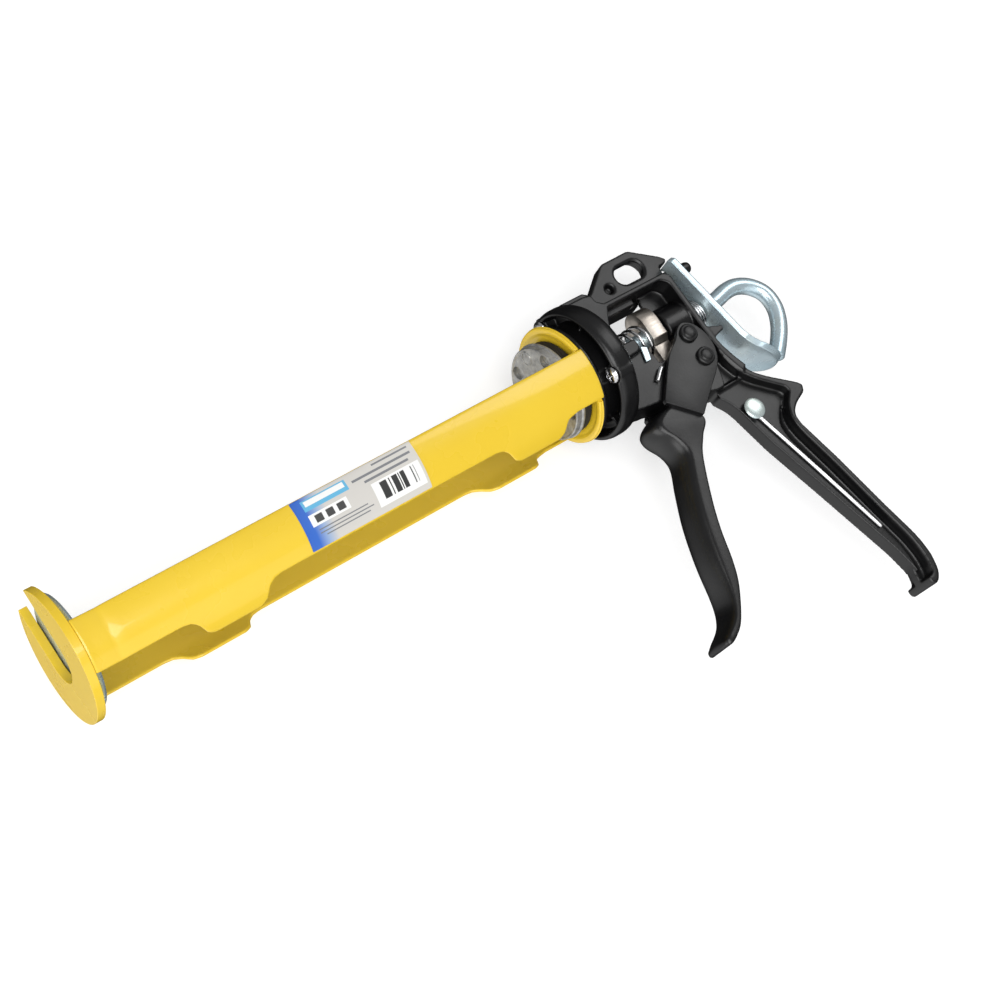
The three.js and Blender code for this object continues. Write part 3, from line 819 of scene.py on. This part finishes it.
def hub_disc():
    disc = lathe("hub_disc_skin", [
        (-8.1, BORE_R), (-8.1, 6.2), (-7.9, 6.8), (-7.7, 7), (-7.7, 18.7), (-7.75, 19.1), (-8.0, 19.4),
        (-8.1, 19.7), (-8.05, 20.0), (-7.7, 20.25), (-5.4, 20.35), (-5.2, 20.6), (-4.9, HUB_R),
        (-4.3, HUB_R), (-3.8, HUB_R - 0.4), (-3.8, BORE_R),
    ], 160, closed=True)
    holes = [rod("hole", -12, -5.6, 2.9, on_circle(16.4, a), segments=40) for a in (-26, 60, 148, 238)]
    mark = on_circle(16, 16)
    ring = lathe("mark", [(-7, 2.4), (-8.0, 2.5), (-8.05, 2.8), (-8.0, 3.1), (-7, 3.2)], 40, "x", mark, True)
    combine(disc, holes, "DIFFERENCE")
    combine(disc, [ring], "UNION")
    piece(disc, "frame", "cast_alloy", ALLOY, "hub_disc", limit=28)


def hub_seal():
    seal = lathe("hub_seal_skin", [
        (-3.5, 13.1), (-3.5, 19.0), (-3.2, 19.7), (-2.2, 20), (-1.7, 19.7), (-1.4, 19.7), (-0.9, 20),
        (0.1, 19.9), (0.5, 19.4), (0.6, 19), (0.6, 13.1),
    ], 128, closed=True)
    piece(seal, "frame", "black_rubber", RUBBER, "hub_seal")


def screws():
    for i, spot in enumerate(screw_spots()):
        name = f"screw_{i + 1}"
        screw = lathe(name + "_skin", [
            (7.75, 0), (7.8, 1.0), (8.0, 2.0), (8.4, 2.9), (8.9, 3.4), (9.4, SCREW_R), (9.9, 3.5),
            (10.1, 3.2), (10.1, 1.5), (17.4, 1.5), (18.2, 0.7), (18.2, 0),
        ], 48, "x", spot)
        cross = []
        for turn in (25, 115):
            slot = block("slot", (7, -2.1, -0.45), (9.0, 2.1, 0.45))
            slot.data.transform(Matrix.Rotation(turn * DEG, 4, "X"))
            slot.data.transform(Matrix.Translation((0, *spot)))
            cross.append(slot)
        combine(screw, cross, "DIFFERENCE")
        bevelled(screw, 0.12, 2, 50)
        piece(screw, "frame", "bright_steel", CHROME, name, limit=30)


# ---- Trigger -------------------------------------------------------------------------
CHEEK = [
    (31, -28.4, 0), (40.2, -18.4), (46.5, -12), (53, -8.6), (56.4, -4.8), (60, -3), (64.4, -5.2),
    (67.2, -10.5), (67.9, -16), (66.2, -22.5), (62, -27.5), (55, -32.4), (49.4, -36.6),
    (42.8, -41.6, 0.5), (31, -29.8, 0.5),
]
LEVER_FRONT = [
    (31, -30.2), (25, -31.2), (20.4, -33.4), (19.2, -35.8), (20, -39), (22.4, -43), (23.6, -47.5),
    (22.8, -52.5), (18.2, -61), (11.6, -75), (6, -92), (3.4, -107), (1, -112.8), (-2.6, -116.4),
    (-7.6, -119.4), (-10.2, -121.6),
]
LEVER_BACK = [
    (-10.8, -123.6), (-8.4, -124.8), (-4, -123.2), (1.6, -119), (10, -107.6), (14.4, -98),
    (18.6, -84.6), (23.8, -72), (32, -56), (38, -48.6), (43.6, -42.2), (38, -31),
]
LEVER_NOSE = 6.0
LEVER_STATIONS = 110
TIP_STATIONS = 4
CHEEK_IN, CHEEK_OUT = 8.4, 11.2


def resampled(points, count):
    """count points at even steps along a smooth line through 2-D points."""
    path = spline([(x, y, 0) for x, y in points], 12)
    lengths = [0.0]
    for a, b in zip(path, path[1:]):
        lengths.append(lengths[-1] + (b - a).length)
    out = []
    i = 0
    for k in range(count):
        s = lengths[-1] * k / (count - 1)
        while i < len(path) - 2 and s > lengths[i + 1]:
            i += 1
        out.append(path[i].lerp(path[i + 1], (s - lengths[i]) / (lengths[i + 1] - lengths[i])))
    return out


def lever_section(width, half):
    """Half of the lever's section: set-back from its front edge, half width."""
    nose = min(LEVER_NOSE, 0.55 * width)
    out = []
    for k in range(13):
        a = math.pi / 2 * k / 12
        out.append((nose * (1 - math.cos(a)), half * math.sin(a)))
    corner = min(1.1, 0.2 * width)
    for k in range(6):
        a = math.pi / 2 * k / 5
        out.append((width - corner + corner * math.sin(a), half - corner + corner * math.cos(a)))
    return out


def lever():
    """The trigger's lever: a round front and a flat side, swept from the cheeks to the tip."""
    front = resampled(LEVER_FRONT, LEVER_STATIONS)
    back = resampled(list(reversed(LEVER_BACK)), LEVER_STATIONS)
    bm = bmesh.new()
    rings = []
    for k, (a, b) in enumerate(zip(front, back)):
        tip = 1 - min(1, (LEVER_STATIONS - 1 - k) / TIP_STATIONS)
        half = LEVER_HALF * (0.7 + 0.3 * math.sqrt(1 - tip ** 2))
        across = (b - a).normalized()
        shape = lever_section((b - a).length, half)
        loop = [(d, z) for d, z in shape] + [(d, -z) for d, z in reversed(shape[1:])]
        rings.append([bm.verts.new(a + across * d + Vector((0, 0, z))) for d, z in loop])
    for a, b in zip(rings, rings[1:]):
        for k in range(len(a)):
            bm.faces.new((a[k - 1], a[k], b[k], b[k - 1]))
    bm.faces.new(rings[0])
    bm.faces.new(rings[-1])
    return from_bmesh("trigger_skin", bm)


def trigger():
    skin = lever()
    cheeks = [prism("cheek", CHEEK, CHEEK_IN, CHEEK_OUT), prism("cheek", CHEEK, -CHEEK_OUT, -CHEEK_IN)]
    for cheek in cheeks:
        bevelled(cheek, 0.45, 3, 50)
    combine(skin, cheeks, "UNION")
    piece(skin, "trigger", "black_paint", BLACK, "trigger", limit=38)


def pin_head(r):
    """A pin's head of radius r with a raised middle, from its underside to its top."""
    return [(PIN_END, r), (11.6, r), (12.2, r), (12.55, r - 0.25), (12.7, r - 0.7), (12.72, r - 1.3),
            (12.8, r - 1.45), (13.05, r - 1.6), (13.18, r - 1.9), (13.2, 0)]


def pins():
    head = pin_head(4.0)
    lower = [(-z, r) for z, r in reversed(head)]
    for name, body, centre, shank in (
        ("drive_pin", "trigger", DRIVE_PIN, DRIVE_PIN_R), ("pivot_pin", "frame", PIVOT, PIVOT_R),
    ):
        profile = lower + [(-PIN_END, shank), (PIN_END, shank)] + head
        pin = lathe(name + "_skin", profile, 64, "z", centre)
        piece(pin, body, "black_paint", BLACK, name, limit=50)


def drive_roller():
    roller = lathe("drive_roller_skin", [
        (-4.2, 2.4), (-4.2, 3.3), (-3.9, 3.6), (3.9, 3.6), (4.2, 3.3), (4.2, 2.4),
    ], 48, "z", DRIVE_PIN, True)
    piece(roller, "trigger", "brushed_steel", STEEL, "drive_roller")


def drive_block():
    """A round-topped block round the rod, with a narrower foot. One side is drawn and mirrored."""
    side = [(3.4, -15.4, 0.4), (4.1, -14.6, 0.4), (4.2, -5.6, 0.6), (6.8, -2.9, 0.6)]
    side += [(7.1 * math.cos(5 * k * DEG), 4.6 + 8 * math.sin(5 * k * DEG), 0) for k in range(18)]
    far = [(-z, *rest) for z, *rest in reversed(side)]
    shoe = prism("drive_block_skin", side + [(0, 12.6, 0)] + far, 47.2, 55, "zy")
    bevelled(shoe, 0.3, 2, 50)
    combine(shoe, [rod("bore", 44, 60, BORE_R, (0, 0)), rod("dot", 44, 48, 0.6, (8.4, -3.6))], "DIFFERENCE")
    piece(shoe, "drive", "brushed_steel", STEEL, "drive_block", limit=35)


def coil(x0, x1, r0, r1, turns, lean=0.0):
    """A spring's line round the rod from x0 to x1. Its far end leans back by lean degrees."""
    per_turn = 28
    count = round(turns * per_turn)
    path = []
    for i in range(count + 1):
        s = i / count
        a = 2 * math.pi * turns * s
        r = r0 + (r1 - r0) * s
        y = r * math.cos(a)
        x = x0 + (x1 - x0) * s - s * y * math.tan(lean * DEG)
        path.append(Vector((x, y, r * math.sin(a))))
    return path


def springs():
    main = tube("drive_spring_skin", coil(DRIVE_SPRING_X, 46, 5.4, 7.3, 6.5), 0.75, 12, 0.3)
    piece(main, "frame", "bright_steel", CHROME, "drive_spring")
    small = tube("release_spring_skin", coil(RELEASE_SPRING_X, 77, 5.6, 6, 4.5, PLATE_LEAN), 0.5, 10, 0.3)
    piece(small, "frame", "bright_steel", CHROME, "release_spring")
    return main, small


def small_wires():
    leg = tube("spring_leg_skin", spline([(40.6, -15.4, 9), (38.2, -17.1, 9), (35, -19.7, 9)]), 1.05, 16)
    piece(leg, "frame", "bright_steel", CHROME, "spring_leg")
    outline = [(38.2, -3.6, 0.4), (40.7, -5, 0.4), (38.9, -10.4, 0.5), (36.2, -10.4, 0.5)]
    clip = prism("spring_clip_skin", outline, 7.9, 8.7)
    bevelled(clip, 0.15, 2)
    piece(clip, "frame", "zinc_plate", ZINC, "spring_clip", weighted=True)


# ---- Rod and release -----------------------------------------------------------------
def push_rod():
    straight = [(-225, 0, 0), (-150, 0, 0), (-60, 0, 0), (0, 0, 0), (60, 0, 0), (85, 0, 0)]
    hook = [
        (91, 0.7, 0), (97, 1.9, 0), (103, 1.7, 0), (109, -1.2, 0), (113.4, -6.8, 0), (113.8, -14, 0),
        (110.8, -21, 0), (105.6, -27.4, 0), (98.2, -34.2, 0),
    ]
    bar = tube("push_rod_skin", spline(straight + hook, 10), ROD_R, 40, 0.35)
    piece(bar, "rod", "zinc_plate", ZINC, "push_rod")


def plunger_disc():
    disc = lathe("plunger_disc_skin", [
        (-226.2, BORE_R), (-226.2, 21.2), (-226.0, 21.9), (-225.5, 22.5), (-224.9, DISC_R), (-224.4, 22.6),
        (-223.8, 22.1), (-223.6, 21.5), (-222.8, 12), (-222.8, BORE_R),
    ], 128, closed=True)
    piece(disc, "rod", "zinc_plate", ZINC, "plunger_disc")


def plunger_nut():
    """A hexagon nut whose corners are turned off at both ends."""
    low, high = -222.5, -217
    hexagon = [(*on_circle(7, 60 * k), 0) for k in range(6)]
    nut = prism("plunger_nut_skin", hexagon, low, high, "zy")
    crown = lathe("crown", [
        (low, 0), (low, 6.2), (low + 0.6, 7.1), (high - 0.6, 7.1), (high, 6.2), (high, 0),
    ], 64)
    combine(nut, [crown], "INTERSECT")
    combine(nut, [rod("bore", -230, -210, BORE_R, (0, 0))], "DIFFERENCE")
    piece(nut, "rod", "zinc_plate", ZINC, "plunger_nut", limit=25)


def release_plate():
    """A bent strip, drawn upright from its foot and cut to its outline, then leant back."""
    path = [
        (0, 3.4, 0.5), (3, 3.4, 0.5), (3, -42), (5.4, -47), (12.2, -56.6, 2), (13.4, -58.6, 1),
        (10.8, -59.8, 1), (9.2, -57.9, 2), (2.9, -49), (0, -43),
    ]
    plate = prism("release_plate_skin", path, -PLATE_HALF, PLATE_HALF)
    end = arc(0, -49, PLATE_HALF - 1, 180, 360, 48)
    near = [(12, -40, 0), (12, 1.5, 1), (9.8, 3.7, 1)]
    far = [(-z, y, r) for z, y, r in reversed(near)]
    combine(plate, [prism("tab", far + end + near, -20, 40, "zy")], "INTERSECT")
    holes = [rod("rod_hole", -5, 10, 4.9, (-20, 0)), rod("peg_hole", -5, 10, 3.7, (-0.6, 0))]
    combine(plate, holes, "DIFFERENCE")
    cast(plate, 0.3, 3, 0.5)
    plate.data.transform(Matrix.Rotation(PLATE_LEAN * DEG, 4, "Z"))
    plate.data.transform(Matrix.Translation((*PLATE_FOOT, 0)))
    piece(plate, "release", "zinc_plate", ZINC, "release_plate", limit=180)


def piercing_needle():
    """A wire bent round the rivet's shank, then down beside the grip."""
    x, y = RIVET
    steps = 28
    eye = []
    for i in range(steps + 1):
        across, up = on_circle(2.9, -40 + 300 * i / steps)
        eye.append((x + across, y + up, NEEDLE_Z))
    tail = [(x + 0.7, y - 5.4), (x + 1.6, y - 9), (x + 9.6, y - 38), (x + 18, y - 69.6)]
    path = spline(eye + [(px, py, NEEDLE_Z) for px, py in tail], 6)
    needle = tube("needle_skin", path, 0.9, 14, 1.2)
    piece(needle, "needle", "bright_steel", CHROME, "piercing_needle")


def needle_rivet():
    rivet = lathe("needle_rivet_skin", [
        (-1, 0), (-1, 1.55), (5.9, 1.55), (5.9, 4.6), (6.05, 4.8), (6.3, 4.75), (6.6, 4.5), (6.8, 3.9),
        (7.0, 2.8), (7.15, 1.5), (7.2, 0),
    ], 48, "z", RIVET)
    piece(rivet, "frame", "zinc_plate", ZINC, "needle_rivet")


front_plate()
cradle_walls()
rear_ring()
product_label()
body_casting()
hub_disc()
hub_seal()
screws()
trigger()
pins()
drive_roller()
drive_block()
main_spring, small_spring = springs()
small_wires()
push_rod()
plunger_disc()
plunger_nut()
release_plate()
piercing_needle()
needle_rivet()

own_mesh(main_spring)
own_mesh(small_spring)


# ---- Stage ---------------------------------------------------------------------------
def floor():
    """A wide pale floor that gives off some light and isn't seen in reflections."""
    bm = bmesh.new()
    bmesh.ops.create_grid(bm, x_segments=1, y_segments=1, size=60)
    plane = from_bmesh("floor", bm)
    pale = Finish("floor_white", 0.9)
    pale.shader.inputs["Base Color"].default_value = (0.5, 0.5, 0.5, 1)
    pale.shader.inputs["Emission Color"].default_value = (1, 1, 1, 1)
    pale.shader.inputs["Emission Strength"].default_value = 0.62
    plane.data.materials.append(pale.material)
    plane.visible_glossy = False


def light(name, away, distance, side, power):
    """A square softbox in the direction `away` of the middle of the gun."""
    data = bpy.data.lights.new(name, "AREA")
    data.shape = "SQUARE"
    data.size = side
    data.energy = power
    lamp = bpy.data.objects.new(name, data)
    bpy.context.scene.collection.objects.link(lamp)
    away = Vector(away).normalized()
    lamp.location = Vector((0, 0, 0.03)) + away * distance
    lamp.rotation_euler = (-away).to_track_quat("-Z", "Y").to_euler()


def camera():
    """The photograph's camera, as fitted to it. right, up and view are its axes."""
    right = Vector((0.76696308, -0.5606671, 0.31212184))
    up = Vector((0.43644551, 0.81235311, 0.38677867))
    view = Vector((0.47040722, 0.16042079, -0.86774548))
    data = bpy.data.cameras.new("camera")
    data.sensor_width = 36
    data.lens = 64.063
    data.clip_start = 0.01
    cam = bpy.data.objects.new("camera", data)
    bpy.context.scene.collection.objects.link(cam)
    turn = Matrix((right, up, -view)).transposed()
    spot = ORIGIN + Vector((-377.46, -139.68, 600.65)) * MM
    cam.matrix_world = Matrix.Translation(spot) @ turn.to_4x4()
    bpy.context.scene.camera = cam


def world():
    """A pale sky over a ground that is bright ahead of the gun and dark behind it."""
    made = bpy.data.worlds.new("studio")
    made.use_nodes = True
    nodes = made.node_tree.nodes
    links = made.node_tree.links
    direction = nodes.new("ShaderNodeTexCoord").outputs["Generated"]

    def shade_by(axis, start, end, low, high):
        along = nodes.new("ShaderNodeVectorMath")
        along.operation = "DOT_PRODUCT"
        along.inputs[1].default_value = axis
        ramp = nodes.new("ShaderNodeMapRange")
        ramp.inputs["From Min"].default_value = start
        ramp.inputs["From Max"].default_value = end
        ramp.inputs["To Min"].default_value = low
        ramp.inputs["To Max"].default_value = high
        links.new(direction, along.inputs[0])
        links.new(along.outputs["Value"], ramp.inputs["Value"])
        return ramp.outputs["Result"]

    both = nodes.new("ShaderNodeMath")
    both.operation = "MAXIMUM"
    links.new(shade_by((0, 0, 1), -0.1, 0.35, 0.0, 0.27), both.inputs[0])
    links.new(shade_by((-1, -0.6, -0.4), 0.3, 1.0, 0.02, 0.95), both.inputs[1])
    links.new(both.outputs["Value"], nodes["Background"].inputs["Strength"])
    nodes["Background"].inputs["Color"].default_value = (1, 1, 1, 1)
    bpy.context.scene.world = made


floor()
world()
camera()
light("mirror_box", (0.635, 0.24, 0.735), 1.29, 0.62, 3.0)
light("key", (-0.3, -0.22, 0.93), 1.1, 0.8, 8.4)
light("front_fill", (-0.95, -0.1, 0.3), 1.1, 0.8, 4.2)
light("low_fill", (-0.05, -0.86, 0.5), 1.0, 0.8, 1.5)
bpy.context.scene.view_settings.view_transform = "Standard"
